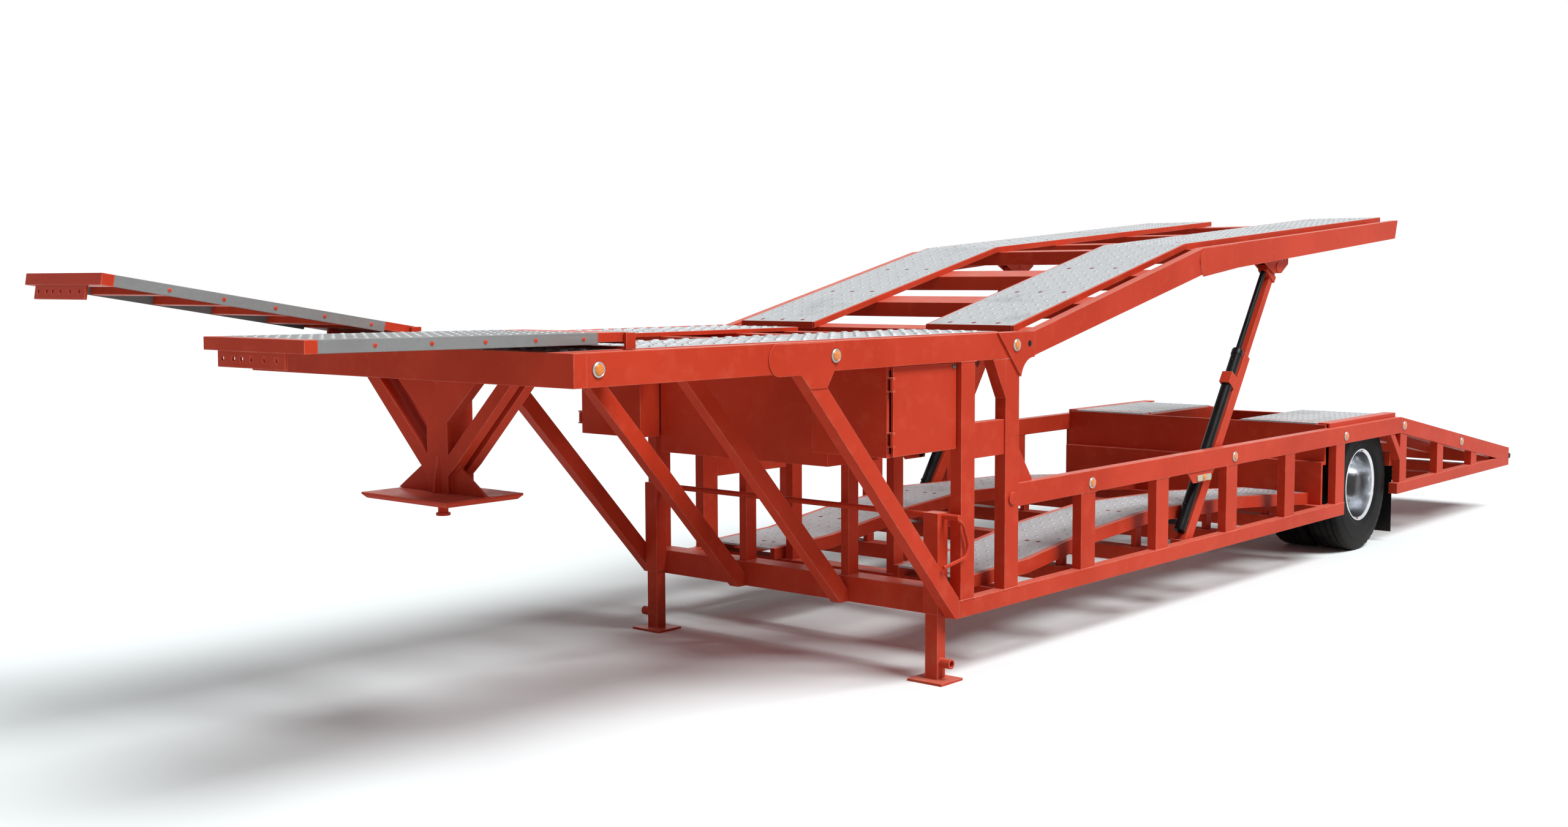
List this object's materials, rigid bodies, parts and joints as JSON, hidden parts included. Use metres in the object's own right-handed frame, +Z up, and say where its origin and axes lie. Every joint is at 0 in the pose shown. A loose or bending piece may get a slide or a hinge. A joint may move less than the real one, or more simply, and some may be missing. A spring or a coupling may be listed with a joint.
{
  "type": "car transporter semi-trailer",
  "caption": "Single-axle car-transporter semi-trailer with a low well, neck deck and a tilting upper deck on lift posts.",
  "frame": {"origin": "ground level, under the middle of the overall length and width", "axes": "+X toward the coupling and the front runways, +Y to the trailer's left, +Z up"},
  "size_m": [13.6572, 2.557, 2.7872],
  "materials": {
    "red_paint": "gloss orange-red chassis paint",
    "runway_metal": "dull galvanised, dimpled",
    "wheel_alloy": "polished",
    "rubber": "matt black",
    "black_paint": "satin black",
    "hub_steel": "dark satin",
    "lamp_lens": "amber lens"
  },
  "bodies": {
    "chassis": {"air_springs": "rubber", "axle": "hub_steel", "bulkhead": "red_paint", "crossbeams": "red_paint", "diagonal_braces": "red_paint", "floor_bearers": "red_paint", "gusset_plates": "red_paint", "kingpin_column": "red_paint", "kingpin_plate": "red_paint", "lamps": "lamp_lens", "landing_legs": "red_paint", "leg_shaft": "red_paint", "lockers": "red_paint", "mudflaps_and_buffers": "rubber", "pivot_brackets": "red_paint", "posts": "red_paint", "rear_deck_plates": "runway_metal", "runway_edges": "red_paint", "runways": "runway_metal", "side_rails": "red_paint", "tail_rails": "red_paint"},
    "left_wheels": {"left_tyres": "rubber", "left_rims": "wheel_alloy", "left_hub": "hub_steel"},
    "right_wheels": {"right_tyres": "rubber", "right_rims": "wheel_alloy", "right_hub": "hub_steel"},
    "upper_deck": {"upper_deck_rails": "red_paint", "upper_deck_crossmembers": "red_paint", "upper_deck_runways": "runway_metal", "upper_runway_edges": "red_paint"},
    "left_lift": {"left_lift_post": "red_paint", "left_lift_cylinder": "black_paint"},
    "right_lift": {"right_lift_post": "red_paint", "right_lift_cylinder": "black_paint"},
    "left_ram": {"left_lift_ram": "red_paint"},
    "right_ram": {"right_lift_ram": "red_paint"},
    "left_ramp": {"left_front_runway": "runway_metal", "left_runway_toe": "red_paint"},
    "right_ramp": {"right_front_runway": "runway_metal", "right_runway_toe": "red_paint"},
    "left_door": {"left_locker_door": "red_paint"},
    "right_door": {"right_locker_door": "red_paint"}
  },
  "joints": [
    {"name": "left_wheels_spin", "type": "hinge", "parent": "chassis", "child": "left_wheels", "pos_m": [-3.2965, 0.85, 0.55], "axis": [0, 1, 0], "continuous": true},
    {"name": "right_wheels_spin", "type": "hinge", "parent": "chassis", "child": "right_wheels", "pos_m": [-3.2965, -0.85, 0.55], "axis": [0, 1, 0], "continuous": true},
    {"name": "upper_deck_tilt", "type": "hinge", "parent": "chassis", "child": "upper_deck", "pos_m": [2.0035, 0, 1.905], "axis": [0, 1, 0], "range_deg": [-14.5, 0]},
    {"name": "left_lift_tilt", "type": "hinge", "parent": "chassis", "child": "left_lift", "pos_m": [-0.1895, 1.13, 0.42], "axis": [0, 1, 0], "range_deg": [-25, 2]},
    {"name": "left_lift_slide", "type": "slide", "parent": "left_lift", "child": "left_ram", "axis": [-0.5732, 0, 0.8194], "range_m": [-0.68, 0.02]},
    {"name": "right_lift_tilt", "type": "hinge", "parent": "chassis", "child": "right_lift", "pos_m": [-0.1895, -1.13, 0.42], "axis": [0, 1, 0], "range_deg": [-25, 2]},
    {"name": "right_lift_slide", "type": "slide", "parent": "right_lift", "child": "right_ram", "axis": [-0.5732, 0, 0.8194], "range_m": [-0.68, 0.02]},
    {"name": "left_front_runway_tilt", "type": "hinge", "parent": "chassis", "child": "left_ramp", "pos_m": [5.1285, 0.74, 2.026], "axis": [0, -1, 0], "range_deg": [0, 25]},
    {"name": "right_front_runway_tilt", "type": "hinge", "parent": "chassis", "child": "right_ramp", "pos_m": [5.1285, -0.84, 2.026], "axis": [0, -1, 0], "range_deg": [-9.4, 15.6]},
    {"name": "left_locker_door_swing", "type": "hinge", "parent": "chassis", "child": "left_door", "pos_m": [3.2995, 1.226, 1.575], "axis": [0, 0, -1], "range_deg": [0, 110]},
    {"name": "right_locker_door_swing", "type": "hinge", "parent": "chassis", "child": "right_door", "pos_m": [3.2995, -1.226, 1.575], "axis": [0, 0, 1], "range_deg": [0, 110]}
  ],
  "couplings": [
    {"joint": "left_lift_tilt", "follows": "upper_deck_tilt", "ratio": 1.1746},
    {"joint": "left_lift_slide", "follows": "upper_deck_tilt", "m_per_rad": 2.6203},
    {"joint": "right_lift_tilt", "follows": "upper_deck_tilt", "ratio": 1.1746},
    {"joint": "right_lift_slide", "follows": "upper_deck_tilt", "m_per_rad": 2.6203}
  ]
}
